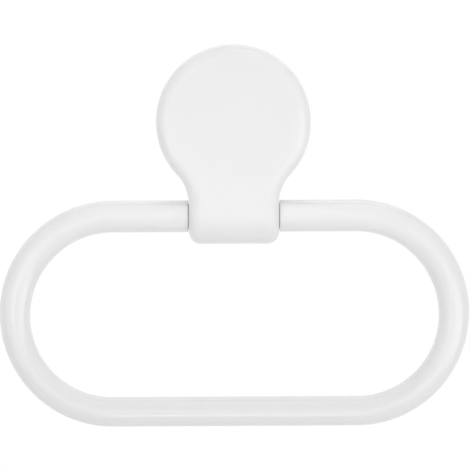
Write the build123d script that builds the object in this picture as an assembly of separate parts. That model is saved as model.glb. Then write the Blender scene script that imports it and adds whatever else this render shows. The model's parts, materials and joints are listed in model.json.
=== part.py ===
# Towel ring: a closed oval ring that hangs in the hooked neck of a round wall cover.
# Millimetres. The wall is the plane y = 0, the front faces -Y, up is +Z.
# The origin lies on the wall, behind the centre of the cover's disc.
import os
from math import atan2, degrees, sqrt

from build123d import *

# Cover outline, seen from the front
DISC_R = 37.1  # round upper part
NECK_WIDTH = 43.3  # straight neck below it
SHOULDER_R = 20.0  # concave blend from the disc into the neck
BAR_DROP = 45.1  # disc centre down to the axis of the ring's top bar

# Cover section, seen from the side
BAR_STANDOFF = 12.0  # wall to the axis of the top bar
NOSE_R = 13.3  # outside of the hooked nose, about the bar's axis
NOSE_PROUD = 3.6  # nose in front of the disc's face
FLARE_R = 42.0  # concave sweep from the disc's face out to the nose
EDGE_R = 5.8  # soft roundover along the whole front edge
COVER_WALL = 2.8  # moulded wall of the cover
RIM_GAP = 0.3  # cover's rim to the wall
RIM_BREAK = 0.5  # small bevel round the rim

# Ring
BEND_R = 46.8  # centreline of the two half circles
STRAIGHT = 116.8  # length of the two straight bars
TOP_BAR_R = 7.6  # where the bar leaves the neck
BEND_BAR_R = 7.35  # round the half circles
BOTTOM_BAR_R = 7.05  # in the middle of the lower bar
JOURNAL_R = 6.0  # thinner stretch of the top bar inside the neck
STEP_BEVEL = 0.3  # where the bar steps down to the journal

# Cradle ribs inside the neck
CRADLE_COUNT = 3
CRADLE_THICKNESS = 2.0
CRADLE_TOP = 11.0  # above the bar's axis

# Wall plate
PLATE_THICKNESS = 3.0
SADDLE_REACH = 7.5  # wall to the front of the saddle behind the bar
SADDLE_CORE_DEPTH = 2.6  # pockets that thin the saddle from behind
SADDLE_CORE_HEIGHT = 5.0
SADDLE_CORE_COUNT = 3
SADDLE_CORE_WEB = 2.2  # web between two pockets
BOSS_R = 6.5  # round the screw holes
BOSS_HEIGHT = 2.0  # in front of the plate
SPINE_THICKNESS = 2.4  # rib from the upper boss down to the cradle ribs
SPINE_HEIGHT = 3.0

# Snap fit between the plate and the cover
SNAP_ANGLES = (40.0, 140.0, -20.0, 200.0)  # round the disc, from +X towards +Z
SNAP_SPAN = 16.0  # width of a tongue, in degrees
SNAP_THICKNESS = 1.6
SNAP_LENGTH = 7.0  # in front of the plate
SNAP_BITE = 0.8  # overlap of the barb and the catch
BARB_HEIGHT = 2.4
CATCH_HEIGHT = 1.8
CATCH_EXTRA_SPAN = 4.0  # a catch is wider than its tongue, in degrees

# Screws
SCREW_SPACING = 40.0  # up and down
THREAD_R = 2.0
SHANK_R = 1.6  # plain shank through the plate
SCREW_LENGTH = 30.0  # under the head
SCREW_TIP = 4.0
HEAD_R = 3.8
HEAD_HEIGHT = 2.6
HEAD_BEVEL = 1.0
CROSS_WIDTH = 1.0
CROSS_LENGTH = 4.4
CROSS_DEPTH = 1.4

# Clearances
JOURNAL_CLEARANCE = 0.3  # round the bar in its cradle
SIDE_PLAY = 0.3  # each side of the neck, between it and the bar's step
FIT_CLEARANCE = 0.3  # plate inside cover
SCREW_CLEARANCE = 0.3  # round the thread, so that it passes through the plate

# Sizes that follow
FACE_DEPTH = BAR_STANDOFF + NOSE_R - NOSE_PROUD
NOSE_DEPTH = BAR_STANDOFF + NOSE_R
CRADLE_R = JOURNAL_R + JOURNAL_CLEARANCE
NECK_INSIDE = NECK_WIDTH - 2 * COVER_WALL
NECK_BOTTOM = -BAR_DROP - NOSE_R
PLATE_INSET = COVER_WALL + FIT_CLEARANCE
OVERCUT = 5.0  # how far a cutting tool passes the faces that it opens
NEAR = 0.01  # two places this close are the same place
TOOL_SIZE = 2 * (DISC_R + BAR_DROP + NOSE_DEPTH)

BAR_AXIS = Pos(0, -BAR_STANDOFF, -BAR_DROP)


def outline(inset):
    """Disc, shoulders and neck on the wall plane, moved inwards by inset. The neck runs on past the nose."""
    shoulder_x = NECK_WIDTH / 2 + SHOULDER_R
    shoulder_z = -sqrt((DISC_R + SHOULDER_R) ** 2 - shoulder_x**2)
    neck_x = NECK_WIDTH / 2 - inset
    foot = NECK_BOTTOM - OVERCUT
    lean = degrees(atan2(-shoulder_z, shoulder_x))
    disc = CenterArc((0, 0), DISC_R - inset, -lean, 180 + 2 * lean)
    right = [
        CenterArc((shoulder_x, shoulder_z), SHOULDER_R + inset, 180 - lean, lean),
        Line((neck_x, shoulder_z), (neck_x, foot)),
    ]
    left = [mirror(edge, Plane.YZ) for edge in right]
    base = Line((-neck_x, foot), (neck_x, foot))
    return Plane.XZ * make_face([disc, *right, *left, base])


def section(inset, back):
    """Face, flare, nose and underside in the plane x = 0, moved inwards by inset, from y = back forwards."""
    flare_y = -(FACE_DEPTH + FLARE_R)
    flare_z = -BAR_DROP + sqrt((FLARE_R + NOSE_R) ** 2 - (FLARE_R + NOSE_R - NOSE_PROUD) ** 2)
    slope = degrees(atan2(flare_z + BAR_DROP, -BAR_STANDOFF - flare_y))
    face = -(FACE_DEPTH - inset)
    top = DISC_R + OVERCUT
    under = NECK_BOTTOM + inset
    sides = [
        Line((back, top), (face, top)),
        Line((face, top), (face, flare_z)),
        CenterArc((flare_y, flare_z), FLARE_R + inset, 0, -slope),
        CenterArc((-BAR_STANDOFF, -BAR_DROP), NOSE_R - inset, 180 - slope, 90 + slope),
        Line((-BAR_STANDOFF, under), (back, under)),
        Line((back, under), (back, top)),
    ]
    return Plane.YZ * make_face(sides)


def front_edges(body, back):
    """The smooth chain of edges where the side wall meets the face, the flare, the nose and the underside."""
    chain = []
    underside = body.bounding_box().min.Z
    for edge in body.edges():
        box = edge.bounding_box()
        on_back = box.min.Y > back - NEAR
        across = edge.geom_type == GeomType.LINE and box.size.X > NEAR
        along = box.size.X < NEAR and box.size.Z < NEAR and box.min.Z > underside + NEAR
        if not (on_back or across or along):
            chain.append(edge)
    return chain


def holder_form(inset, back):
    """The cover's outer form, or its hollow when inset is the wall, with sharp edges."""
    body = extrude(outline(inset), NOSE_DEPTH + OVERCUT) + extrude(outline(inset), -OVERCUT)
    return body & extrude(section(inset, back), TOOL_SIZE / 2, both=True)


def along_bar(sketch, reach):
    """A section about the bar's axis, drawn out along X by reach to each side."""
    return BAR_AXIS * extrude(Plane.YZ * sketch, reach, both=True)


def bar_slot(radius, reach):
    """A round seat for the bar, open towards the wall."""
    mouth = BAR_STANDOFF + OVERCUT
    seat = Circle(radius) + Pos(mouth / 2, 0) * Rectangle(mouth, 2 * radius)
    return along_bar(seat, reach)


def ring_sector(points, centre_angle, span):
    """A profile of (radius, depth) points, turned round the disc's axis over span degrees."""
    profile = Plane.YZ * make_face(Polyline(*[(-depth, radius) for radius, depth in points], close=True))
    start = Rot(0, 90 - centre_angle - span / 2, 0) * profile
    return revolve(start, Axis.Y, span)


def make_front_cover():
    outer = holder_form(0, -RIM_GAP)
    outer = fillet(front_edges(outer, -RIM_GAP), EDGE_R)
    rim = [edge for edge in outer.edges() if edge.bounding_box().min.Y > -RIM_GAP - NEAR]
    outer = chamfer(rim, RIM_BREAK)
    hollow = holder_form(COVER_WALL, OVERCUT)
    inner_bevel = (EDGE_R - COVER_WALL) * (2 - sqrt(2))  # keeps the wall as thick behind the roundover
    hollow = chamfer(front_edges(hollow, OVERCUT), inner_bevel)
    cover = outer - hollow

    # Ribs across the neck that carry the bar between the two cheeks
    pitch = NECK_INSIDE / (CRADLE_COUNT + 1)
    rib_back = PLATE_THICKNESS + FIT_CLEARANCE
    rib_box = Box(
        CRADLE_THICKNESS,
        NOSE_DEPTH - rib_back,
        NOSE_R + CRADLE_TOP,
        align=(Align.CENTER, Align.MAX, Align.MIN),
    )
    for index in range(CRADLE_COUNT):
        x = (index + 1) * pitch - NECK_INSIDE / 2
        cover += Pos(x, -rib_back, NECK_BOTTOM) * rib_box & hollow

    cover -= bar_slot(CRADLE_R, NECK_WIDTH)

    # Catches on the inside of the disc's side wall
    wall_r = DISC_R - COVER_WALL
    catch_front = PLATE_THICKNESS + SNAP_LENGTH - BARB_HEIGHT - FIT_CLEARANCE
    catch_back = catch_front - CATCH_HEIGHT
    root_r = wall_r + COVER_WALL / 2
    for angle in SNAP_ANGLES:
        cover += ring_sector(
            [
                (root_r, catch_front),
                (wall_r - SNAP_BITE, catch_front),
                (wall_r - SNAP_BITE, catch_front - CATCH_HEIGHT / 3),
                (wall_r, catch_back),
                (root_r, catch_back),
            ],
            angle,
            SNAP_SPAN + CATCH_EXTRA_SPAN,
        )
    return cover


def make_wall_plate():
    foot = NECK_BOTTOM + PLATE_INSET
    plate = extrude(outline(PLATE_INSET), PLATE_THICKNESS)
    above_foot = Box(TOOL_SIZE, TOOL_SIZE, TOOL_SIZE, align=(Align.CENTER, Align.CENTER, Align.MIN))
    plate &= Pos(0, 0, foot) * above_foot
    corners = [edge for edge in plate.edges().filter_by(Axis.Y) if edge.center().Z < foot + NEAR]
    plate = fillet(corners, EDGE_R - PLATE_INSET)

    # Saddle behind the bar, as wide as the neck, so that its ends fill the slots in the cheeks
    saddle_height = 2 * (CRADLE_R - FIT_CLEARANCE)
    saddle_width = NECK_WIDTH - 2 * FIT_CLEARANCE
    on_wall = (Align.CENTER, Align.MAX, Align.CENTER)
    plate += Pos(0, 0, -BAR_DROP) * Box(saddle_width, SADDLE_REACH, saddle_height, align=on_wall)

    # Bosses and a spine that stiffens the plate from the upper one down to the cover's cradle ribs
    boss_face = PLATE_THICKNESS + BOSS_HEIGHT
    spine_foot = -BAR_DROP + CRADLE_TOP + FIT_CLEARANCE
    spine = Box(
        SPINE_THICKNESS,
        PLATE_THICKNESS + SPINE_HEIGHT,
        SCREW_SPACING / 2 - spine_foot,
        align=(Align.CENTER, Align.MAX, Align.MIN),
    )
    plate += Pos(0, 0, spine_foot) * spine
    for z in screw_heights():
        plate += extrude(Plane.XZ * Pos(0, z) * Circle(BOSS_R), boss_face)
        plate -= extrude(Plane.XZ.offset(boss_face) * Pos(0, z) * Circle(BOSS_R), OVERCUT)
        plate -= extrude(Plane.XZ * Pos(0, z) * Circle(THREAD_R + SCREW_CLEARANCE), TOOL_SIZE, both=True)

    plate -= along_bar(Circle(CRADLE_R), NECK_WIDTH)

    # Pockets in the saddle's back
    core_width = (NECK_INSIDE - (SADDLE_CORE_COUNT + 1) * SADDLE_CORE_WEB) / SADDLE_CORE_COUNT
    core = Box(core_width, SADDLE_CORE_DEPTH, SADDLE_CORE_HEIGHT, align=on_wall)
    for index in range(SADDLE_CORE_COUNT):
        x = (index - (SADDLE_CORE_COUNT - 1) / 2) * (core_width + SADDLE_CORE_WEB)
        plate -= Pos(x, 0, -BAR_DROP) * core

    # Snap tongues: the plate's edge is set back where the cover's catches pass
    wall_r = DISC_R - COVER_WALL
    tongue_r = wall_r - SNAP_BITE - FIT_CLEARANCE
    tip_r = wall_r - FIT_CLEARANCE
    tip = PLATE_THICKNESS + SNAP_LENGTH
    shelf = tip - BARB_HEIGHT
    for angle in SNAP_ANGLES:
        span = SNAP_SPAN + CATCH_EXTRA_SPAN
        notch = [(tongue_r, -OVERCUT), (tongue_r, tip), (wall_r + OVERCUT, tip), (wall_r + OVERCUT, -OVERCUT)]
        plate -= ring_sector(notch, angle, span + CATCH_EXTRA_SPAN)
        tongue = [
            (tongue_r - SNAP_THICKNESS, PLATE_THICKNESS / 2),
            (tongue_r, PLATE_THICKNESS / 2),
            (tongue_r, shelf),
            (tip_r, shelf),
            (tip_r, shelf + BARB_HEIGHT / 4),
            (tongue_r - SNAP_THICKNESS / 2, tip),
            (tongue_r - SNAP_THICKNESS, tip),
        ]
        plate += ring_sector(tongue, angle, SNAP_SPAN)
    return plate


def tapered_bar(from_x, from_r, to_x, to_r):
    """A stretch of bar along +X from one radius to another."""
    start = (Align.CENTER, Align.CENTER, Align.MIN)
    return Pos(from_x, 0, 0) * Rot(0, 90, 0) * Cone(from_r, to_r, to_x - from_x, align=start)


def make_towel_ring():
    """One closed bar: thickest where it leaves the neck and slimmest at the bottom, with a journal in the neck."""
    half = STRAIGHT / 2
    step_x = NECK_WIDTH / 2 + SIDE_PLAY
    top = tapered_bar(step_x, TOP_BAR_R, half, BEND_BAR_R)
    top = chamfer(top.edges().group_by(Axis.X)[0], STEP_BEVEL)
    bend = revolve(Plane.YZ * Pos(0, BEND_R) * Circle(BEND_BAR_R), Axis.Y, 180)
    bottom = tapered_bar(0, BOTTOM_BAR_R, half, BEND_BAR_R)
    right = top + Pos(half, 0, -BEND_R) * bend + Pos(0, 0, -2 * BEND_R) * bottom
    sides = BAR_AXIS * (right + mirror(right, Plane.YZ))
    return sides + along_bar(Circle(JOURNAL_R), step_x + OVERCUT)


def screw_heights():
    return (-SCREW_SPACING / 2, SCREW_SPACING / 2)


def make_wall_screws():
    """Pan-head screws: bevelled head on the boss, plain shank through the plate, threaded length in the wall."""
    seat = PLATE_THICKNESS + BOSS_HEIGHT
    end = SCREW_LENGTH - seat
    head = extrude(Plane.XZ.offset(seat) * Circle(HEAD_R), HEAD_HEIGHT)
    head = chamfer(head.edges().group_by(Axis.Y)[0], HEAD_BEVEL)
    for turn in (0, 90):
        slot = Box(CROSS_LENGTH, CROSS_DEPTH, CROSS_WIDTH, align=(Align.CENTER, Align.MIN, Align.CENTER))
        head -= Pos(0, -seat - HEAD_HEIGHT, 0) * Rot(0, turn, 0) * slot
    shank = extrude(Plane.XZ * Circle(SHANK_R), seat)
    thread = extrude(Plane.XZ * Circle(THREAD_R), -(end - SCREW_TIP))
    point = Pos(0, end - SCREW_TIP / 2, 0) * Rot(-90, 0, 0) * Cone(THREAD_R, THREAD_R / 8, SCREW_TIP)
    screw = head + shank + thread + point
    return [Pos(0, 0, z) * screw for z in screw_heights()]


def main():
    os.makedirs("parts", exist_ok=True)
    export_step(make_front_cover(), "parts/front_cover.step")
    export_step(make_wall_plate(), "parts/wall_plate.step")
    export_step(make_towel_ring(), "parts/towel_ring.step")
    export_step(Compound(children=make_wall_screws()), "parts/wall_screws.step")


main()
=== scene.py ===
# %% [markdown]
# A towel ring, dressed for its picture
#
# The solid model comes in as a fixed frame: a moulded cover with a hooked neck, a closed ring that
# swings in it, and behind them a wall plate with two screws. In this lesson the cover, the ring and
# the screws get finer meshes than the solids have, and every piece gets a procedural finish. Frame
# and meshes are in metres. The wall is the plane y = 0, the front faces -Y and up is +Z.

# %% Load the frame
import json
from math import atan2, cos, pi, radians, sin, sqrt

import bmesh
import bpy
from mathutils import Matrix, Vector

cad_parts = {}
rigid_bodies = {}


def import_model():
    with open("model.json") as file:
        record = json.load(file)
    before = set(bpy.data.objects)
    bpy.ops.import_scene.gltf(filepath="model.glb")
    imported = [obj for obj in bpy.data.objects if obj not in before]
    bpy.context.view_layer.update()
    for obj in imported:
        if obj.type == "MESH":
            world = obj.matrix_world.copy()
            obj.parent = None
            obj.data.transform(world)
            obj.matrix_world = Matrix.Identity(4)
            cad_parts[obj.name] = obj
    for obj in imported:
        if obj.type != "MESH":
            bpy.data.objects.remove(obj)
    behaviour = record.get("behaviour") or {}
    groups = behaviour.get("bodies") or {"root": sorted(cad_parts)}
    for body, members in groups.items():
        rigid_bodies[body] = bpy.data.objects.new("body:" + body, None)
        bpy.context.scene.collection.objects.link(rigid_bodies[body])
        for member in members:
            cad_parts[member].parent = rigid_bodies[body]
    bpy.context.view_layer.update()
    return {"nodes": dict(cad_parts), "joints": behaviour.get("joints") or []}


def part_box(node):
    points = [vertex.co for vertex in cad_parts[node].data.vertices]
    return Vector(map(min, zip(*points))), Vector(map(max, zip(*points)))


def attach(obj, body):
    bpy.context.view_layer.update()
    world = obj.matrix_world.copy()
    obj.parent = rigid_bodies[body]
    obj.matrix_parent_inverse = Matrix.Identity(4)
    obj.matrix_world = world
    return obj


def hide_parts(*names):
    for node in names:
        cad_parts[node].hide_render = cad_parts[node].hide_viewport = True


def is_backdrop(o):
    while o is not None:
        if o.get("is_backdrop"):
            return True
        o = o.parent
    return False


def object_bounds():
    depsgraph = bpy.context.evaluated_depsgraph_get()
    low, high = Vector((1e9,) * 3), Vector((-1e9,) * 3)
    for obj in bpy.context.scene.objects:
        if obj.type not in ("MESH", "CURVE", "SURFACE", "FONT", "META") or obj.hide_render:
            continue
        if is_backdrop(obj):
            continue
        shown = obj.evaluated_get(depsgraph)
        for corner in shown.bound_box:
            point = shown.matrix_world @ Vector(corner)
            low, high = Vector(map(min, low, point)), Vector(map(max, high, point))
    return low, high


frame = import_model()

MM = 0.001
nodes = frame["nodes"]
for name in sorted(nodes):
    low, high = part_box(name)
    size = [round((b - a) / MM, 1) for a, b in zip(low, high)]
    print(f"{name}: {size} mm, {len(nodes[name].data.polygons)} triangles")

# %% [markdown]
# A few helpers serve every piece. A mesh is made from plain lists of points and faces, and a modifier
# is turned into plain mesh data by asking Blender for the evaluated object. Doing that in one place
# keeps each later cell short, and it leaves no live modifier behind.

# %% Helpers for meshes
CREASE = 28.0
scene = bpy.context.scene


def add_object(name, data):
    made = bpy.data.objects.new(name, data)
    scene.collection.objects.link(made)
    return made


def mesh_from(name, points, faces, edges=()):
    """A mesh from points in millimetres."""
    mesh = bpy.data.meshes.new(name)
    mesh.from_pydata([Vector(p) * MM for p in points], list(edges), faces)
    mesh.update()
    return mesh


def freeze(piece):
    """Replaces the piece's mesh by what its modifiers make of it, and removes them."""
    graph = bpy.context.evaluated_depsgraph_get()
    graph.update()
    made = bpy.data.meshes.new_from_object(piece.evaluated_get(graph))
    piece.modifiers.clear()
    piece.data = made
    made.name = piece.name
    return made


def shape_with(piece, tool, operation):
    """Cuts tool out of piece or unites the two with an exact boolean, and deletes the tool."""
    boolean = piece.modifiers.new("shape", "BOOLEAN")
    boolean.operation = operation
    boolean.solver = "EXACT"
    boolean.object = tool
    freeze(piece)
    bpy.data.objects.remove(tool)


def smooth_shading(mesh, crease=CREASE):
    """Soft shading, with a crease wherever two faces meet at more than the given degrees."""
    mesh.shade_smooth()
    mesh.set_sharp_from_angle(angle=radians(crease))


# %% [markdown]
# The cover is a disc that runs through two concave shoulders into a neck, and the neck sweeps forward
# into a round nose over the ring's bar. Where the bar turns, how wide the disc is and how far the nose
# stands out are read from the frame. The disc and the nose are eased by a hair, so that the fine mesh
# stays inside the solid's coarser facets. The other sizes are those of the solid model, in millimetres.

# %% Sizes
DISC_EASE = 0.02
NOSE_EASE = 0.01
NECK_WIDTH = 43.3
SHOULDER_R = 20.0  # concave blend from the disc into the neck
NOSE_PROUD = 3.6  # nose in front of the disc's face
FLARE_R = 42.0  # sweep from the face out to the nose
EDGE_R = 5.8  # soft edge round the whole front
COVER_WALL = 2.8
RIM_GAP = 0.3  # rim to the wall
RIM_BREAK = 0.5  # bevel round the rim
JOURNAL_R = 6.0  # bar inside the neck
RUNNING_GAP = 0.3  # round the journal and beside the neck

cover_low, cover_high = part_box("front_cover")
bar_axis = frame["joints"][0]["pos_m"]
BAR_STANDOFF = round(-bar_axis[1] / MM, 1)
BAR_DROP = round(-bar_axis[2] / MM, 1)
DISC_R = round(cover_high[0] / MM, 1) - DISC_EASE
NOSE_R = round(-cover_low[1] / MM, 1) - BAR_STANDOFF - NOSE_EASE
FACE_DEPTH = BAR_STANDOFF + NOSE_R - NOSE_PROUD
NECK_HALF = NECK_WIDTH / 2
SHOULDER_X = NECK_HALF + SHOULDER_R
SHOULDER_Z = -sqrt((DISC_R + SHOULDER_R) ** 2 - SHOULDER_X**2)
SHOULDER_LEAN = atan2(-SHOULDER_Z, SHOULDER_X)
FLARE_Y = -(FACE_DEPTH + FLARE_R)
FLARE_Z = -BAR_DROP + sqrt((FLARE_R + NOSE_R) ** 2 - (FLARE_R + NOSE_R - NOSE_PROUD) ** 2)
FLARE_SLOPE = atan2(FLARE_Z + BAR_DROP, -BAR_STANDOFF - FLARE_Y)
SLOT_R = JOURNAL_R + RUNNING_GAP
print(f"face {FACE_DEPTH:.1f} mm in front of the wall, flare from z = {FLARE_Z:.1f} mm")

# %% [markdown]
# The cover is one moulding with a soft edge all the way round its front. A bevel modifier would have
# to guess how to turn that edge from the flat disc into the curved neck, so the skin is worked out
# instead. Its front is a profile drawn out sideways. Imagine that front rolled out flat: the outline
# is then a keyhole, and the soft edge is a quarter circle that falls away over the last few
# millimetres before the outline. One rule gives every point of it.

# %% The front's profile, rolled out
class FrontProfile:
    """Face, flare, nose and underside as one line, followed by its length from the top of the disc."""

    def __init__(self, inset, back):
        self.inset = inset
        self.top = DISC_R - inset
        self.face_end = self.top - FLARE_Z
        self.flare_end = self.face_end + (FLARE_R + inset) * FLARE_SLOPE
        self.nose_end = self.flare_end + (NOSE_R - inset) * (FLARE_SLOPE + pi / 2)
        self.end = self.nose_end + back + BAR_STANDOFF

    def at(self, s):
        """Depth y and height z at length s, and the direction into the material there."""
        if s <= self.face_end:
            return -(FACE_DEPTH - self.inset), self.top - s, 1.0, 0.0
        if s <= self.flare_end:
            radius = FLARE_R + self.inset
            turn = -(s - self.face_end) / radius
            return FLARE_Y + radius * cos(turn), FLARE_Z + radius * sin(turn), cos(turn), sin(turn)
        if s <= self.nose_end:
            radius = NOSE_R - self.inset
            turn = pi - FLARE_SLOPE + (s - self.flare_end) / radius
            y = -BAR_STANDOFF + radius * cos(turn)
            z = -BAR_DROP + radius * sin(turn)
            return y, z, -cos(turn), -sin(turn)
        return -BAR_STANDOFF + s - self.nose_end, -BAR_DROP - NOSE_R + self.inset, 0.0, 1.0


outside = FrontProfile(0.0, -RIM_GAP)
print(f"rolled out, the front is {outside.end:.1f} mm long from the disc's top to the rim")

# %% [markdown]
# Stations along the outline carry the columns of the mesh. Each knows where it is on the rolled-out
# front and which way is inwards. On the shoulders the front already leans forward, so the side wall
# stands a little lower than the edge above it, and the outline is read at that lower place. Where the
# shoulder ends is found by halving an interval.

# %% Stations along the outline
DISC_STEPS = 72
SHOULDER_STEPS = 22
FLARE_STEPS = 8
NOSE_STEPS = 30
UNDER_STEPS = 6
HALVINGS = 60
SLOPE_STEP = 0.01


def spread(start, end, count):
    """Count steps from start to end, without start itself."""
    return [start + (end - start) * step / count for step in range(1, count + 1)]


def stations(profile, edge_r):
    """The stations of one side, from the top of the disc down to the rim, and the number of the one where
    the neck starts. Each is (x, s, inwards in x, inwards in s)."""
    inset = profile.inset
    disc_r = DISC_R - inset

    def wall_z(s):
        _, z, _, in_z = profile.at(s)
        return z + edge_r * in_z

    def shoulder(s):
        rise = min(wall_z(s) - SHOULDER_Z, SHOULDER_R + inset)
        return SHOULDER_X - sqrt((SHOULDER_R + inset) ** 2 - rise**2)

    found = []
    for step in range(DISC_STEPS + 1):
        turn = pi / 2 - (pi / 2 + SHOULDER_LEAN) * step / DISC_STEPS
        found.append((disc_r * cos(turn), disc_r * (1 - sin(turn)), -cos(turn), sin(turn)))

    disc_end = found[-1][1]
    shoulder_end, past_it = disc_end, profile.end
    for _ in range(HALVINGS):
        middle = (shoulder_end + past_it) / 2
        if wall_z(middle) > SHOULDER_Z:
            shoulder_end = middle
        else:
            past_it = middle
    for s in spread(disc_end, shoulder_end, SHOULDER_STEPS):
        lean = (shoulder(s) - shoulder(s - SLOPE_STEP)) / SLOPE_STEP
        length = sqrt(1 + lean**2)
        found.append((shoulder(s), s, -1 / length, lean / length))
    neck_start = len(found) - 1

    neck = spread(shoulder_end, profile.flare_end, FLARE_STEPS)
    neck += spread(profile.flare_end, profile.nose_end, NOSE_STEPS)
    neck += spread(profile.nose_end, profile.end, UNDER_STEPS)
    found += [(NECK_HALF - inset, s, -1.0, 0.0) for s in neck]
    return found, neck_start


print(f"{len(stations(outside, EDGE_R)[0])} stations on each side")

# %% [markdown]
# A skin is that rule sampled: rows across the soft edge, columns at the stations, the front filled from
# side to side, the side wall and the two flat cheeks of the neck. A narrow row beside each end of the
# soft edge holds the shading of the flat parts flat. The same function makes the outside and, set in by
# the wall's thickness and turned round, the inside.

# %% One skin of the cover
EDGE_STEPS = 18
HOLD = 0.3
RIGHT_AND_LEFT = (1, -1)


def skin(inset, back):
    """Points and faces of a skin that is open at y = back, and the loop of point numbers along its rim."""
    profile = FrontProfile(inset, back)
    edge_r = EDGE_R - inset
    columns, neck = stations(profile, edge_r)
    falls = [(edge_r + HOLD, 0.0)]
    for step in range(EDGE_STEPS + 1):
        turn = pi / 2 * step / EDGE_STEPS
        falls.append((edge_r * (1 - sin(turn)), edge_r * (1 - cos(turn))))
    falls.append((0.0, edge_r + HOLD))
    points, faces, index = [], [], {}

    def put(key, x, y, z):
        index[key] = len(points)
        points.append((x, y, z))

    last = len(columns) - 1
    wall_row = len(falls) - 1
    for side in RIGHT_AND_LEFT:
        for i, (x, s, in_x, in_s) in enumerate(columns):
            for k, (distance, fall) in enumerate(falls):
                y, z, in_y, in_z = profile.at(min(s + distance * in_s, profile.end))
                put((side, k, i), side * (x + distance * in_x), y + fall * in_y, z + fall * in_z)
            if i <= neck:
                _, z, _, in_z = profile.at(s)
                put((side, "rim", i), side * x, back, z + edge_r * in_z)
    # The first column lies in the middle, so both sides share its points
    for key in [key for key in index if key[0] == -1 and key[2] == 0]:
        index[key] = index[(1,) + key[1:]]

    def face(*keys):
        corners = []
        for key in keys:
            if index[key] not in corners:
                corners.append(index[key])
        faces.append(corners)

    def patch(side, row, next_row, i):
        """The face between two rows and two columns. On the left side it is listed the other way round."""
        keys = [(side, row, i), (side, row, i + 1), (side, next_row, i + 1), (side, next_row, i)]
        face(*keys[::side])

    for side in RIGHT_AND_LEFT:
        for i in range(last):
            for k in range(wall_row):
                patch(side, k, k + 1, i)
            if i < neck:
                patch(side, wall_row, "rim", i)
        cheek = [(side, wall_row, i) for i in range(neck, last + 1)] + [(side, "rim", neck)]
        face(*cheek[::side])
    for i in range(last):
        face((1, 0, i), (-1, 0, i), (-1, 0, i + 1), (1, 0, i + 1))

    rim = []
    for side in RIGHT_AND_LEFT:
        half = [(side, "rim", i) for i in range(neck + 1)]
        half += [(side, k, last) for k in range(wall_row, -1, -1)]
        rim += half if side == 1 else half[:0:-1]
    return points, faces, [index[key] for key in rim]


print(f"one skin: {len(skin(0.0, -RIM_GAP)[1])} faces")

# %% [markdown]
# The shell joins an outer skin, a small bevel round the rim, the flat rim and the inner skin. All three
# loops have the same number of points, so strips of faces close it. A boolean can leave edges that are
# too short to see, so one helper drops those, turns the faces outwards and counts the open edges, of
# which there should be none.

# %% The cover as a closed shell
SLIVER = 2e-6


def closed_shell():
    """Outside, bevel, rim and inside of the cover as one mesh."""
    outer, outer_faces, outer_rim = skin(0.0, -RIM_GAP - RIM_BREAK)
    bevel, _, bevel_rim = skin(RIM_BREAK, -RIM_GAP)
    inner, inner_faces, inner_rim = skin(COVER_WALL, -RIM_GAP)
    points = outer + [bevel[i] for i in bevel_rim] + inner
    bevel_rim = [len(outer) + i for i in range(len(bevel_rim))]
    shift = len(outer) + len(bevel_rim)
    inner_rim = [shift + i for i in inner_rim]
    faces = outer_faces + [[shift + i for i in reversed(f)] for f in inner_faces]
    for one, two in ((outer_rim, bevel_rim), (bevel_rim, inner_rim)):
        count = len(one)
        for i in range(count):
            after = (i + 1) % count
            faces.append([one[i], one[after], two[after], two[i]])
    return mesh_from("cover_shell", points, faces)


def point_outwards(mesh):
    """Drops the slivers that a boolean leaves, turns the faces outwards and counts the open edges."""
    bm = bmesh.new()
    bm.from_mesh(mesh)
    bmesh.ops.dissolve_degenerate(bm, dist=SLIVER, edges=bm.edges)
    bmesh.ops.recalc_face_normals(bm, faces=bm.faces)
    open_edges = sum(1 for edge in bm.edges if not edge.is_manifold)
    bm.to_mesh(mesh)
    bm.free()
    return open_edges


cover_shell = add_object("cover_shell", closed_shell())
print("open edges in the shell:", point_outwards(cover_shell.data))

# %% [markdown]
# The ring is one closed piece, so its bar has to come into the neck from behind. The slots that let it
# in are cut through both cheeks with a boolean, because they lie wholly in flat faces, where a boolean
# leaves the shading alone. The tool is the outline of the bar's seat, drawn out past both cheeks.

# %% Slots for the bar
SLOT_STEPS = 48
OVERCUT = 2.8


def seat_point(turn):
    """A point (y, z) of the bar's seat."""
    return -BAR_STANDOFF + SLOT_R * cos(turn), -BAR_DROP + SLOT_R * sin(turn)


def drawn_solid(name, outline, half_width):
    """A closed solid: an outline of (y, z) drawn out to both sides of the middle."""
    count = len(outline)
    points = [(x, y, z) for x in (half_width, -half_width) for y, z in outline]
    faces = [list(range(count)), list(range(2 * count - 1, count - 1, -1))]
    faces += [[i, count + i, count + (i + 1) % count, (i + 1) % count] for i in range(count)]
    piece = add_object(name, mesh_from(name, points, faces))
    point_outwards(piece.data)
    return piece


def slot_tool():
    """The bar's seat, drawn out past both cheeks and open towards the wall."""
    outline = [seat_point(pi / 2 + pi * step / SLOT_STEPS) for step in range(SLOT_STEPS + 1)]
    outline += [(OVERCUT, -BAR_DROP - SLOT_R), (OVERCUT, -BAR_DROP + SLOT_R)]
    return drawn_solid("slot_tool", outline, NECK_WIDTH)


shape_with(cover_shell, slot_tool(), "DIFFERENCE")
smooth_shading(cover_shell.data)
print(f"cover: {len(cover_shell.data.polygons)} faces")

# %% [markdown]
# The ring is a bar that follows a path, which is what Geometry Nodes are good at. The path is a loop of
# points with no thickness. It has extra points beside the neck, where the bar steps down to the journal
# that turns in the cradle. The step's face is upright, but a path needs a little length for it.

# %% The ring's path
BEND_R = 46.8
STRAIGHT = 116.8
STEP_X = NECK_HALF + RUNNING_GAP
STEP_FACE = 0.01
STEP_ROUND = 0.3
BEND_STEPS = 120
STEP_STEPS = 6


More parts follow.
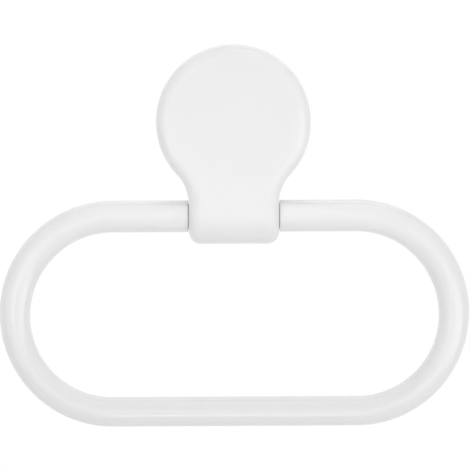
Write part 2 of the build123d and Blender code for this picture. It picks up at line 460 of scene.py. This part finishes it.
def ring_path():
    """The centre line of the ring as a loop of points, clockwise from the middle of the top bar."""
    half = STRAIGHT / 2
    right = [(STEP_X - STEP_FACE, 0.0)]
    right += [(STEP_X + STEP_ROUND * step / STEP_STEPS, 0.0) for step in range(STEP_STEPS + 1)]
    for step in range(BEND_STEPS + 1):
        turn = pi / 2 - pi * step / BEND_STEPS
        right.append((half + BEND_R * cos(turn), -BEND_R + BEND_R * sin(turn)))
    loop = [(0.0, 0.0)] + right + [(0.0, -2 * BEND_R)] + [(-x, z) for x, z in reversed(right)]
    points = [(x, -BAR_STANDOFF, -BAR_DROP + z) for x, z in loop]
    edges = [(i, (i + 1) % len(points)) for i in range(len(points))]
    return mesh_from("ring_bar", points, [], edges)


ring_bar = add_object("ring_bar", ring_path())
print(f"the ring's path has {len(ring_bar.data.vertices)} points")

# %% [markdown]
# Node trees are easier to read when a small helper makes and links each node. The helper takes the
# node's type, its settings and what goes into each socket, which is either a value or another node's
# output.

# %% Helpers for node trees
def add_node(tree, kind, settings=None, **inputs):
    """A node whose inputs, by socket number as i0, i1 and so on, are values or other sockets."""
    node = tree.nodes.new(kind)
    for key, value in (settings or {}).items():
        setattr(node, key, value)
    for key, value in inputs.items():
        socket = node.inputs[int(key[1:])]
        if isinstance(value, bpy.types.NodeSocket):
            tree.links.new(value, socket)
        else:
            socket.default_value = value
    return node


def maths(tree, operation, *values):
    inputs = {f"i{number}": value for number, value in enumerate(values)}
    return add_node(tree, "ShaderNodeMath", {"operation": operation}, **inputs).outputs[0]


def new_tree(name, inputs):
    """A geometry node tree with a geometry in and out and further named inputs."""
    tree = bpy.data.node_groups.new(name, "GeometryNodeTree")
    tree.interface.new_socket(name="Geometry", in_out="INPUT", socket_type="NodeSocketGeometry")
    for label, kind in inputs:
        tree.interface.new_socket(name=label, in_out="INPUT", socket_type="NodeSocket" + kind)
    tree.interface.new_socket(name="Geometry", in_out="OUTPUT", socket_type="NodeSocketGeometry")
    entry = tree.nodes.new("NodeGroupInput")
    return tree, {socket.name: socket for socket in entry.outputs if socket.name}


def close_tree(tree, geometry, material):
    """Ends a tree in plain geometry with its material."""
    real = add_node(tree, "GeometryNodeRealizeInstances", i0=geometry)
    dressed = add_node(tree, "GeometryNodeSetMaterial", i0=real.outputs[0], i2=material)
    add_node(tree, "NodeGroupOutput", i0=dressed.outputs[0])


def run_tree(piece, tree, values):
    """Puts the tree on the piece with the given inputs and keeps the mesh that it makes."""
    modifier = piece.modifiers.new(tree.name, "NODES")
    modifier.node_group = tree
    items = tree.interface.items_tree
    sockets = {item.name: item.identifier for item in items if item.in_out == "INPUT"}
    for label, value in values.items():
        modifier[sockets[label]] = value
    return freeze(piece)


# %% [markdown]
# White plastic looks plain, but it isn't one flat value. A mould leaves a very fine grain, the gloss
# changes a little from place to place, and the colour drifts by a hair. One node group makes these
# three from noise in the piece's own coordinates, and each plastic takes it with its own amounts.

# %% The grain of a moulding, as a node group
COLOUR_PATCHES = 38.0
COLOUR_DETAIL = 2.0
GLOSS_PATCHES = 140.0
GLOSS_DETAIL = 3.0
GRAIN_DETAIL = 2.0
NOISE_MIDDLE = 0.5


def moulded_grain_group():
    group = bpy.data.node_groups.new("moulded grain", "ShaderNodeTree")
    for label, kind in (
        ("Colour", "Color"),
        ("Colour drift", "Float"),
        ("Roughness", "Float"),
        ("Gloss drift", "Float"),
        ("Grain size", "Float"),
    ):
        group.interface.new_socket(name=label, in_out="INPUT", socket_type="NodeSocket" + kind)
    for label, kind in (("Colour", "Color"), ("Roughness", "Float"), ("Height", "Float")):
        group.interface.new_socket(name=label, in_out="OUTPUT", socket_type="NodeSocket" + kind)
    entry = group.nodes.new("NodeGroupInput")
    given = {socket.name: socket for socket in entry.outputs if socket.name}
    place = add_node(group, "ShaderNodeTexCoord").outputs["Object"]

    def noise(scale, detail):
        return add_node(group, "ShaderNodeTexNoise", i0=place, i2=scale, i3=detail).outputs[0]

    def drift(scale, detail, amount):
        """Noise about zero, times the amount."""
        level = maths(group, "SUBTRACT", noise(scale, detail), NOISE_MIDDLE)
        return maths(group, "MULTIPLY", level, amount)

    grain = noise(maths(group, "DIVIDE", 1.0, given["Grain size"]), GRAIN_DETAIL)
    shade = drift(COLOUR_PATCHES, COLOUR_DETAIL, given["Colour drift"])
    tint = add_node(group, "ShaderNodeVectorMath", {"operation": "SCALE"}, i0=given["Colour"])
    group.links.new(maths(group, "ADD", 1.0, shade), tint.inputs["Scale"])
    dulling = drift(GLOSS_PATCHES, GLOSS_DETAIL, given["Gloss drift"])
    gloss = maths(group, "ADD", given["Roughness"], dulling)
    out = group.nodes.new("NodeGroupOutput")
    group.links.new(tint.outputs[0], out.inputs["Colour"])
    group.links.new(gloss, out.inputs["Roughness"])
    group.links.new(grain, out.inputs["Height"])
    return group


grain_group = moulded_grain_group()
print("node group:", grain_group.name)

# %% [markdown]
# Three plastics share that group. The cover and the ring are polished mouldings of nearly one white, and
# the ring, which hands and towels rub, is the glossier. The plate is left matt, as hidden mouldings are.
# Grain sizes and depths are in metres.

# %% The three plastics
PLASTIC_IOR = 1.5
GLOSS_DRIFT = 0.02
FINE_GRAIN = {"grain_size": 0.0009, "grain_depth": 0.000004, "colour_drift": 0.012}
MATT_GRAIN = {"grain_size": 0.0007, "grain_depth": 0.00002, "colour_drift": 0.04}


def plastic(name, colour, roughness, specular, grain_size, grain_depth, colour_drift):
    """A moulded plastic: the shared grain with this plastic's own values."""
    material = bpy.data.materials.new(name)
    material.use_nodes = True
    tree = material.node_tree
    shader = tree.nodes["Principled BSDF"]
    grain = tree.nodes.new("ShaderNodeGroup")
    grain.node_tree = grain_group
    grain.inputs["Colour"].default_value = (*colour, 1.0)
    grain.inputs["Colour drift"].default_value = colour_drift
    grain.inputs["Roughness"].default_value = roughness
    grain.inputs["Gloss drift"].default_value = GLOSS_DRIFT
    grain.inputs["Grain size"].default_value = grain_size
    bump = tree.nodes.new("ShaderNodeBump")
    bump.inputs["Strength"].default_value = 1.0
    bump.inputs["Distance"].default_value = grain_depth
    tree.links.new(grain.outputs["Height"], bump.inputs["Height"])
    tree.links.new(bump.outputs["Normal"], shader.inputs["Normal"])
    tree.links.new(grain.outputs["Colour"], shader.inputs["Base Color"])
    tree.links.new(grain.outputs["Roughness"], shader.inputs["Roughness"])
    shader.inputs["IOR"].default_value = PLASTIC_IOR
    shader.inputs["Specular IOR Level"].default_value = specular
    return material


cover_white = plastic("cover white", (0.775, 0.775, 0.775), roughness=0.26, specular=0.9, **FINE_GRAIN)
ring_white = plastic("ring white", (0.777, 0.777, 0.777), roughness=0.20, specular=1.0, **FINE_GRAIN)
plate_matt = plastic("plate matt", (0.74, 0.74, 0.73), roughness=0.55, specular=0.5, **MATT_GRAIN)
print("plastics:", cover_white.name, ring_white.name, plate_matt.name)

# %% [markdown]
# The tree for the bar gives each point of the path its radius, sweeps a circle along the loop and hands
# back a mesh. Height decides the taper, through a smooth map between the two bars. The distance from the
# middle decides whether a point is in the journal, and how far round the step's soft edge it is. The
# taper's ends are given in bend radii below the top bar.

# %% The ring's tree
TOP_BAR_R = 7.6
BOTTOM_BAR_R = 7.05
TAPER_FROM = 0.26
TAPER_TO = 1.7
RING_SIDES = 72


def bar_tree():
    tree, given = new_tree(
        "bar along a path",
        [
            ("Top radius", "Float"),
            ("Bottom radius", "Float"),
            ("Taper top", "Float"),
            ("Taper bottom", "Float"),
            ("Journal radius", "Float"),
            ("Step place", "Float"),
            ("Step rounding", "Float"),
            ("Sides", "Int"),
            ("Finish", "Material"),
        ],
    )

    def choose(condition, otherwise, then):
        mix = add_node(tree, "ShaderNodeMix", {"data_type": "FLOAT"}, i0=condition, i2=otherwise, i3=then)
        return mix.outputs[0]

    place = add_node(tree, "GeometryNodeInputPosition").outputs[0]
    x, _, z = add_node(tree, "ShaderNodeSeparateXYZ", i0=place).outputs
    taper = add_node(
        tree,
        "ShaderNodeMapRange",
        {"interpolation_type": "SMOOTHSTEP"},
        i0=z,
        i1=given["Taper bottom"],
        i2=given["Taper top"],
        i3=given["Bottom radius"],
        i4=given["Top radius"],
    ).outputs[0]
    rounding = given["Step rounding"]
    past_step = maths(tree, "SUBTRACT", maths(tree, "ABSOLUTE", x), given["Step place"])
    left = maths(tree, "MAXIMUM", maths(tree, "SUBTRACT", rounding, past_step), 0.0)
    squares = [maths(tree, "MULTIPLY", value, value) for value in (rounding, left)]
    rise = maths(tree, "SQRT", maths(tree, "MAXIMUM", maths(tree, "SUBTRACT", *squares), 0.0))
    edge = maths(tree, "ADD", maths(tree, "SUBTRACT", taper, rounding), rise)
    in_neck = maths(tree, "LESS_THAN", past_step, -STEP_FACE / 2 * MM)
    on_top = maths(tree, "GREATER_THAN", z, given["Taper top"])
    radius = choose(on_top, taper, choose(in_neck, edge, given["Journal radius"]))
    path = add_node(tree, "GeometryNodeMeshToCurve", i0=given["Geometry"]).outputs[0]
    circle = add_node(tree, "GeometryNodeCurvePrimitiveCircle", i0=given["Sides"], i4=1.0).outputs[0]
    bar = add_node(tree, "GeometryNodeCurveToMesh", i0=path, i1=circle, i2=radius)
    soft = add_node(tree, "GeometryNodeSetShadeSmooth", i0=bar.outputs[0])
    close_tree(tree, soft.outputs[0], given["Finish"])
    return tree


run_tree(
    ring_bar,
    bar_tree(),
    {
        "Top radius": TOP_BAR_R * MM,
        "Bottom radius": BOTTOM_BAR_R * MM,
        "Taper top": -(BAR_DROP + TAPER_FROM * BEND_R) * MM,
        "Taper bottom": -(BAR_DROP + TAPER_TO * BEND_R) * MM,
        "Journal radius": JOURNAL_R * MM,
        "Step place": STEP_X * MM,
        "Step rounding": STEP_ROUND * MM,
        "Sides": RING_SIDES,
        "Finish": ring_white,
    },
)
print("open edges in the ring:", point_outwards(ring_bar.data))
smooth_shading(ring_bar.data)
print(f"ring: {len(ring_bar.data.polygons)} faces")

# %% [markdown]
# Only the threaded ends of the two screws show, behind the plate. They are zinc-plated steel, whose
# plating is cloudy: one noise moves both its tone and its gloss.

# %% Zinc-plated steel
ZINC_CLOUDS = 420.0
ZINC_DETAIL = 4.0
ZINC_DARK = (0.50, 0.51, 0.52, 1.0)
ZINC_PALE = (0.70, 0.70, 0.68, 1.0)
ZINC_SMOOTH = 0.26
ZINC_DULL = 0.42


def zinc_steel():
    material = bpy.data.materials.new("zinc steel")
    material.use_nodes = True
    tree = material.node_tree
    shader = tree.nodes["Principled BSDF"]
    place = add_node(tree, "ShaderNodeTexCoord").outputs["Object"]
    cloud = add_node(tree, "ShaderNodeTexNoise", i0=place, i2=ZINC_CLOUDS, i3=ZINC_DETAIL).outputs[0]
    tone = add_node(tree, "ShaderNodeValToRGB", i0=cloud)
    tone.color_ramp.elements[0].color = ZINC_DARK
    tone.color_ramp.elements[1].color = ZINC_PALE
    gloss = add_node(tree, "ShaderNodeMapRange", i0=cloud, i3=ZINC_SMOOTH, i4=ZINC_DULL)
    tree.links.new(tone.outputs[0], shader.inputs["Base Color"])
    tree.links.new(gloss.outputs[0], shader.inputs["Roughness"])
    shader.inputs["Metallic"].default_value = 1.0
    return material


screw_zinc = zinc_steel()
print("metal:", screw_zinc.name)

# %% [markdown]
# A screw is round everywhere but in its thread and its recess, so head, shank, core and point are one
# profile spun about the axis. It reaches into the wall as far as the solid screw does. Two crossed bars
# then cut the recess in the head. The point has a waist, given as a share of the core's radius and of
# the point's length.

# %% One screw, turned
SCREW_SPACING = 40.0
BOSS_FACE = 5.0
SHANK_R = 1.6
CORE_R = 1.45
CORE_START = 0.3
SCREW_END = round(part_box("wall_screws")[1][1] / MM, 1)
TIP = 4.0
TIP_WAIST = 0.55
TIP_WAIST_PLACE = 0.4
HEAD_R = 3.8
HEAD_HEIGHT = 2.6
DOME_HEIGHT = 1.1
DOME_STEPS = 8
CROSS_LENGTH = 4.4
CROSS_DEPTH = 1.4
CROSS_WIDTH = 1.0
TURN_STEPS = 40
WELD = 1e-6


def turned_screw():
    """Head, shank, core and point, turned about the Y axis, with a cross recess cut into the head."""
    top = -BOSS_FACE - HEAD_HEIGHT
    profile = [(0.0, top)]
    profile += [(HEAD_R * sin(t), top + DOME_HEIGHT * (1 - cos(t))) for t in spread(0.0, pi / 2, DOME_STEPS)]
    profile += [(HEAD_R, -BOSS_FACE), (SHANK_R, -BOSS_FACE), (SHANK_R, 0.0)]
    profile += [(CORE_R, CORE_START), (CORE_R, SCREW_END - TIP)]
    profile += [(CORE_R * TIP_WAIST, SCREW_END - TIP * TIP_WAIST_PLACE), (0.0, SCREW_END)]
    bm = bmesh.new()
    line = [bm.verts.new((r * MM, y * MM, 0.0)) for r, y in profile]
    edges = [bm.edges.new(pair) for pair in zip(line, line[1:])]
    bmesh.ops.spin(
        bm,
        geom=line + edges,
        cent=(0, 0, 0),
        axis=(0, 1, 0),
        angle=2 * pi,
        steps=TURN_STEPS,
        use_merge=True,
    )
    bmesh.ops.remove_doubles(bm, verts=bm.verts, dist=WELD)
    bmesh.ops.recalc_face_normals(bm, faces=bm.faces)
    mesh = bpy.data.meshes.new("wall_screw_pair")
    bm.to_mesh(mesh)
    bm.free()
    screw = add_object("wall_screw_pair", mesh)
    for turn in (0.0, pi / 2):
        bm = bmesh.new()
        place = Matrix.Rotation(turn, 4, "Y") @ Matrix.Translation((0, top * MM, 0))
        size = Matrix.Diagonal((CROSS_LENGTH * MM, 2 * CROSS_DEPTH * MM, CROSS_WIDTH * MM, 1.0))
        bmesh.ops.create_cube(bm, size=1.0, matrix=place @ size)
        bar = bpy.data.meshes.new("cross_bar")
        bm.to_mesh(bar)
        bm.free()
        shape_with(screw, add_object("cross_bar", bar), "DIFFERENCE")
    return screw


wall_screw_pair = turned_screw()
print(f"one screw without its thread: {len(wall_screw_pair.data.polygons)} faces")

# %% [markdown]
# A thread is a ridge wound round the core, so a spiral curve carries a diamond section, which shrinks
# towards both ends of the thread. Most of the point stays bare. The tree unites thread and core, which
# are one piece of steel, and copies the finished screw to both holes.

# %% The thread and the pair, as a tree
THREAD_R = 2.0
PITCH = 1.8
BARE_TIP = 0.7
SPIRAL_STEPS = 36
RIDGE_SIDES = 4
FADE_SHARE = 0.06
FADE_LEFT = 0.05
SCREW_COUNT = 2
THREAD_CREASE = 40.0


def thread_tree():
    tree, given = new_tree(
        "threaded pair",
        [
            ("Core radius", "Float"),
            ("Thread depth", "Float"),
            ("Pitch", "Float"),
            ("Length", "Float"),
            ("Spacing", "Float"),
            ("Finish", "Material"),
        ],
    )
    spiral = add_node(
        tree,
        "GeometryNodeCurveSpiral",
        i0=SPIRAL_STEPS,
        i1=maths(tree, "DIVIDE", given["Length"], given["Pitch"]),
        i2=given["Core radius"],
        i3=given["Core radius"],
        i4=given["Length"],
    ).outputs[0]
    upright = add_node(tree, "GeometryNodeSetCurveNormal", {"mode": "Z_UP"}, i0=spiral).outputs[0]
    along = add_node(tree, "GeometryNodeSplineParameter").outputs[0]
    ends = maths(tree, "MINIMUM", along, maths(tree, "SUBTRACT", 1.0, along))
    fade = add_node(tree, "ShaderNodeMapRange", i0=ends, i2=FADE_SHARE, i3=FADE_LEFT, i4=1.0).outputs[0]
    ridge = add_node(tree, "GeometryNodeCurvePrimitiveCircle", i0=RIDGE_SIDES, i4=given["Thread depth"])
    thread = add_node(tree, "GeometryNodeCurveToMesh", i0=upright, i1=ridge.outputs[0], i2=fade, i3=True)
    turned = add_node(tree, "GeometryNodeTransform", i0=thread.outputs[0])
    turned.inputs["Rotation"].default_value = (-pi / 2, 0.0, 0.0)
    joined = add_node(tree, "GeometryNodeMeshBoolean", {"operation": "UNION", "solver": "EXACT"})
    joined.inputs["Self Intersection"].default_value = True
    tree.links.new(given["Geometry"], joined.inputs["Mesh 2"])
    tree.links.new(turned.outputs[0], joined.inputs["Mesh 2"])
    low = add_node(tree, "ShaderNodeCombineXYZ", i2=maths(tree, "MULTIPLY", given["Spacing"], -0.5))
    step = add_node(tree, "ShaderNodeCombineXYZ", i2=given["Spacing"])
    holes = add_node(tree, "GeometryNodeMeshLine", i0=SCREW_COUNT, i2=low.outputs[0], i3=step.outputs[0])
    pair = add_node(tree, "GeometryNodeInstanceOnPoints", i0=holes.outputs[0], i2=joined.outputs[0])
    close_tree(tree, pair.outputs[0], given["Finish"])
    return tree


run_tree(
    wall_screw_pair,
    thread_tree(),
    {
        "Core radius": CORE_R * MM,
        "Thread depth": (THREAD_R - CORE_R) * MM,
        "Pitch": PITCH * MM,
        "Length": (SCREW_END - TIP * BARE_TIP) * MM,
        "Spacing": SCREW_SPACING * MM,
        "Finish": screw_zinc,
    },
)
print("open edges in the screws:", point_outwards(wall_screw_pair.data))
smooth_shading(wall_screw_pair.data, THREAD_CREASE)
print(f"screws: {len(wall_screw_pair.data.polygons)} faces")

# %% [markdown]
# Behind its skin the cover has working parts. Once it is on the wall nobody sees them, but the moulding
# isn't whole without them. Three ribs in the neck carry the bar. A rib is one flat outline with
# thickness, and a small tree sets copies of it in a row. It reaches a little way into the cover's wall,
# so that the two can be united into one moulding.

# %% The neck's ribs
RIB_COUNT = 3
RIB_THICKNESS = 2.0
RIB_TOP = 11.0
RIB_BACK = 3.3
RIB_STEPS = 40
SEAT_STEPS = 24
INTO_WALL = 0.8


def rib_outline():
    """A rib's outline in (y, z): the inside of the cover's front, open at the back for the bar."""
    profile = FrontProfile(COVER_WALL - INTO_WALL, -RIB_BACK)
    start = profile.top + BAR_DROP - RIB_TOP
    outline = [profile.at(s)[:2] for s in [start] + spread(start, profile.end, RIB_STEPS)]
    seat = [seat_point(-pi / 2 - pi * step / SEAT_STEPS) for step in range(SEAT_STEPS + 1)]
    outline += [(-RIB_BACK, -BAR_DROP - SLOT_R)] + seat + [(-RIB_BACK, -BAR_DROP + SLOT_R)]
    return outline + [(-RIB_BACK, -BAR_DROP + RIB_TOP)]


def row_tree():
    tree, given = new_tree("copies in a row", [("Count", "Int"), ("Pitch", "Float"), ("Finish", "Material")])
    gaps = maths(tree, "SUBTRACT", given["Count"], 1.0)
    first = maths(tree, "MULTIPLY", maths(tree, "MULTIPLY", gaps, given["Pitch"]), -0.5)
    start = add_node(tree, "ShaderNodeCombineXYZ", i0=first).outputs[0]
    step = add_node(tree, "ShaderNodeCombineXYZ", i0=given["Pitch"]).outputs[0]
    row = add_node(tree, "GeometryNodeMeshLine", i0=given["Count"], i2=start, i3=step)
    copies = add_node(tree, "GeometryNodeInstanceOnPoints", i0=row.outputs[0], i2=given["Geometry"])
    close_tree(tree, copies.outputs[0], given["Finish"])
    return tree


neck_ribs = drawn_solid("neck_ribs", rib_outline(), RIB_THICKNESS / 2)
rib_pitch = (NECK_WIDTH - 2 * COVER_WALL) / (RIB_COUNT + 1)
run_tree(neck_ribs, row_tree(), {"Count": RIB_COUNT, "Pitch": rib_pitch * MM, "Finish": cover_white})
print(f"ribs: {len(neck_ribs.data.polygons)} faces")

# %% [markdown]
# Four catches round the disc click behind the plate's tongues. A catch is a short profile of radius and
# depth, turned round the disc's axis. Ribs and catches then become one skin with the cover.

# %% The disc's catches
CATCH_ANGLES = (40.0, 140.0, -20.0, 200.0)
CATCH_SPAN = 20.0
CATCH_STEPS = 8
CATCH_BITE = 0.8
CATCH_FRONT = 7.3
CATCH_EDGE = 6.7
CATCH_BACK = 5.5
INSIDE_R = DISC_R - COVER_WALL
CATCH = [
    (INSIDE_R + INTO_WALL, CATCH_FRONT),
    (INSIDE_R - CATCH_BITE, CATCH_FRONT),
    (INSIDE_R - CATCH_BITE, CATCH_EDGE),
    (INSIDE_R, CATCH_BACK),
    (INSIDE_R + INTO_WALL, CATCH_BACK),
]


def catch(angle):
    """One catch: its profile of (radius, depth) carried round the disc's axis in small steps."""
    points, faces = [], []
    count = len(CATCH)
    for step in range(CATCH_STEPS + 1):
        turn = radians(angle + CATCH_SPAN * (step / CATCH_STEPS - 0.5))
        points += [(r * cos(turn), -depth, r * sin(turn)) for r, depth in CATCH]
    for step in range(CATCH_STEPS):
        here = step * count
        for i in range(count):
            after = (i + 1) % count
            faces.append([here + i, here + after, here + count + after, here + count + i])
    last = CATCH_STEPS * count
    faces += [list(range(count)), list(range(last + count - 1, last - 1, -1))]
    piece = add_object("catch", mesh_from("catch", points, faces))
    point_outwards(piece.data)
    return piece


for inner_part in [neck_ribs] + [catch(angle) for angle in CATCH_ANGLES]:
    shape_with(cover_shell, inner_part, "UNION")
print("open edges in the cover:", point_outwards(cover_shell.data))
smooth_shading(cover_shell.data)
print(f"cover with its inside: {len(cover_shell.data.polygons)} faces")

# %% [markdown]
# Each piece takes its finish and is tied to the frame: the solid it stands for is hidden, and it moves
# with its body. The plate keeps its own solid, because its shape is right.

# %% Tie the pieces to the frame
def dress(piece, material):
    piece.data.materials.clear()
    piece.data.materials.append(material)


for piece, material, node, body, slot in (
    (cover_shell, cover_white, "front_cover", "holder", "cover_plastic"),
    (ring_bar, ring_white, "towel_ring", "ring", "ring_plastic"),
    (wall_screw_pair, screw_zinc, "wall_screws", "holder", "screw_steel"),
):
    dress(piece, material)
    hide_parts(node)
    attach(piece, body)
    print(f"{piece.name} stands for {node} and moves with {body}")
dress(nodes["wall_plate"], plate_matt)

# %% [markdown]
# The picture is a product shot: straight on from the front with a long lens, so nothing converges. The
# frame is square, and its width at the ring's own depth is set here. A hair of roll follows the way
# the ring hangs in the picture.

# %% Camera
FRAME_WIDTH = 225.3
LOOK_AT = (0.45, -BAR_STANDOFF, -54.2)
CAMERA_AWAY = 2500.0
CAMERA_ROLL = -0.3
SENSOR_WIDTH = 36.0

camera_data = bpy.data.cameras.new("camera")
camera = add_object("camera", camera_data)
camera_data.sensor_width = SENSOR_WIDTH
camera_data.lens = SENSOR_WIDTH * CAMERA_AWAY / FRAME_WIDTH
target = Vector(LOOK_AT) * MM
camera.location = target + Vector((0.0, -CAMERA_AWAY * MM, 0.0))
camera.rotation_euler = (pi / 2, radians(-CAMERA_ROLL), 0.0)
scene.camera = camera
print(f"lens {camera_data.lens:.0f} mm")

# %% [markdown]
# Light for white on white has to be soft and come from many sides, or the forms vanish. Four large lamps
# stand a good way off, to the right, to the left and low in front, and give the round bars their broad
# bands. One near lamp overhead and one behind the top draw the upper edges. Lamps are placed by their
# direction from what they light, in degrees, and by their distance from it, in metres.

# %% Large lamps
OBJECT_MIDDLE = (0.0, -BAR_STANDOFF, -50.0)
UPPER_PART = (0.0, -20.0, -15.0)
FULL_BEAM = 180.0
FAR = 1.3
NEAR = 0.3


def softbox(name, aim, at, size, power, beam=FULL_BEAM, mirrored=True):
    """A flat lamp that faces aim, seen from there at azimuth, elevation and distance. Azimuth is measured
    from the front to the right. Width and height are in metres, power is in watts. A lamp that isn't
    mirrored lights surfaces but shows in none of them."""
    azimuth, elevation, distance = at
    lamp = bpy.data.lights.new(name, "AREA")
    lamp.shape = "RECTANGLE"
    lamp.size, lamp.size_y = size
    lamp.energy = power
    lamp.spread = radians(beam)
    made = add_object(name, lamp)
    turn, rise = radians(azimuth), radians(elevation)
    direction = Vector((sin(turn) * cos(rise), -cos(turn) * cos(rise), sin(rise)))
    made.location = Vector(aim) * MM + distance * direction
    made.rotation_mode = "QUATERNION"
    made.rotation_quaternion = (-direction).to_track_quat("-Z", "Y")
    made.visible_camera = False
    made.visible_glossy = mirrored


def lamp_names():
    return ", ".join(made.name for made in scene.objects if made.type == "LIGHT")


softbox("right_panel", OBJECT_MIDDLE, (37.5, -7.5, FAR), (1.5, 0.70), 2.6)
softbox("left_key", OBJECT_MIDDLE, (-17.0, 0.0, FAR), (0.70, 0.34), 0.74)
softbox("far_right", OBJECT_MIDDLE, (60.0, -15.0, FAR), (0.50, 0.60), 0.70)
softbox("low_front", OBJECT_MIDDLE, (0.0, -22.5, FAR), (0.34, 0.70), 0.26)
softbox("overhead", UPPER_PART, (0.0, 72.0, NEAR), (0.40, 0.20), 0.115)
softbox("behind_top", UPPER_PART, (180.0, 55.0, NEAR), (0.40, 0.20), 0.10)
print("large lamps:", lamp_names())

# %% [markdown]
# Small lamps with narrow beams then touch single places, as a photographer's spots do: the cover's two
# sides, the nose, the crest of each bar and the two ends of the ring. The two for the cover stay out of
# reflections, where they would show as hot streaks on the round bar and on the cover's edge.

# %% Small lamps
NECK_FRONT = (0.0, -23.0, -43.0)
TOP_BAR = (0.0, -BAR_STANDOFF, -45.0)
LOWER_BAR = (0.0, -BAR_STANDOFF, -139.0)
LEFT_END = (-105.0, -BAR_STANDOFF, -92.0)
RIGHT_END = (105.0, -BAR_STANDOFF, -92.0)
MIDWAY = 0.8
NECK_AWAY = 0.35
CLOSE = 0.25

softbox("cover_left", UPPER_PART, (-35.0, 4.0, MIDWAY), (0.30, 0.20), 0.0118, beam=14.0, mirrored=False)
softbox("cover_right", UPPER_PART, (30.0, 8.0, MIDWAY), (0.16, 0.16), 0.0047, beam=8.0, mirrored=False)
softbox("neck_glow", NECK_FRONT, (0.0, 36.0, NECK_AWAY), (0.06, 0.10), 0.00022, beam=14.0)
softbox("top_bar_strip", TOP_BAR, (0.0, 20.0, CLOSE), (0.34, 0.05), 0.0005, beam=12.0)
softbox("lower_bar_strip", LOWER_BAR, (0.0, -30.0, CLOSE), (0.34, 0.03), 0.00055, beam=10.0)
softbox("left_end_side", LEFT_END, (-36.0, 0.0, CLOSE), (0.34, 0.30), 0.0280, beam=80.0)
softbox("right_end_side", RIGHT_END, (26.0, 0.0, CLOSE), (0.30, 0.30), 0.0180, beam=80.0)
print("all lamps:", lamp_names())

# %% [markdown]
# The world fills the rest. It is plain white to the camera and in reflections, so the background is white
# however little light it gives. As light it is dimmer, and it grows towards the back, as it does in front
# of a lit backdrop. That light from behind keeps the outline of the white object pale.

# %% World
AMBIENT = 0.695
BACKDROP = 0.55
WHITE = (1.0, 1.0, 1.0, 1.0)


def studio_world():
    world = bpy.data.worlds.new("studio")
    world.use_nodes = True
    tree = world.node_tree
    tree.nodes.clear()
    rays = add_node(tree, "ShaderNodeLightPath").outputs
    seen = maths(tree, "MAXIMUM", rays["Is Camera Ray"], rays["Is Glossy Ray"])
    seen = maths(tree, "MAXIMUM", seen, rays["Is Transmission Ray"])
    towards = add_node(tree, "ShaderNodeTexCoord").outputs["Generated"]
    backward = add_node(tree, "ShaderNodeSeparateXYZ", i0=towards).outputs["Y"]
    strength = maths(tree, "MULTIPLY_ADD", maths(tree, "MAXIMUM", backward, 0.0), BACKDROP, AMBIENT)
    fill = add_node(tree, "ShaderNodeBackground", i0=WHITE, i1=strength)
    white = add_node(tree, "ShaderNodeBackground", i0=WHITE, i1=1.0)
    mixed = add_node(tree, "ShaderNodeMixShader", i0=seen, i1=fill.outputs[0], i2=white.outputs[0])
    add_node(tree, "ShaderNodeOutputWorld", i0=mixed.outputs[0])
    return world


scene.world = studio_world()
print("world:", scene.world.name)

# %% [markdown]
# Views from above need something under the object, or white on white shows no edge. A round sheet of
# grey paper lies below it. Only the camera sees the sheet, so it changes no light on the object. It goes
# over to the white of the background before its edge, and is clear from below.

# %% Floor
FLOOR_Z = -200.0
FLOOR_R = 600.0
FADE_FROM = 240.0
FADE_TO = 560.0
FLOOR_SIDES = 96
FLOOR_GREY = (0.75, 0.75, 0.75, 1.0)
FLOOR_ROUGHNESS = 0.9


def floor_paper():
    material = bpy.data.materials.new("floor paper")
    material.use_nodes = True
    tree = material.node_tree
    shader = tree.nodes["Principled BSDF"]
    shader.inputs["Base Color"].default_value = FLOOR_GREY
    shader.inputs["Roughness"].default_value = FLOOR_ROUGHNESS
    place = add_node(tree, "ShaderNodeTexCoord").outputs["Object"]
    middle = (0.0, 0.0, FLOOR_Z * MM)
    away = add_node(tree, "ShaderNodeVectorMath", {"operation": "DISTANCE"}, i0=place, i1=middle)
    fade = add_node(
        tree,
        "ShaderNodeMapRange",
        {"interpolation_type": "SMOOTHSTEP"},
        i0=away.outputs["Value"],
        i1=FADE_FROM * MM,
        i2=FADE_TO * MM,
    ).outputs[0]
    white = add_node(tree, "ShaderNodeEmission").outputs[0]
    faded = add_node(tree, "ShaderNodeMixShader", i0=fade, i1=shader.outputs[0], i2=white).outputs[0]
    clear = add_node(tree, "ShaderNodeBsdfTransparent").outputs[0]
    under = add_node(tree, "ShaderNodeNewGeometry").outputs["Backfacing"]
    mixed = add_node(tree, "ShaderNodeMixShader", i0=under, i1=faded, i2=clear)
    tree.links.new(mixed.outputs[0], tree.nodes["Material Output"].inputs["Surface"])
    return material


rim = [2 * pi * step / FLOOR_SIDES for step in range(FLOOR_SIDES)]
floor_points = [(FLOOR_R * cos(t), FLOOR_R * sin(t), FLOOR_Z) for t in rim]
floor = add_object("floor", mesh_from("floor", floor_points, [list(range(FLOOR_SIDES))]))
dress(floor, floor_paper())
floor.visible_diffuse = False
floor.visible_glossy = False
floor.visible_shadow = False
floor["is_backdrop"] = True
print(f"floor {-FLOOR_Z:.0f} mm below the disc's centre")

# %% [markdown]
# Last come the settings of the view and the box round what is shown.

# %% Finish
scene.view_settings.view_transform = "Standard"
low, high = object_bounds()
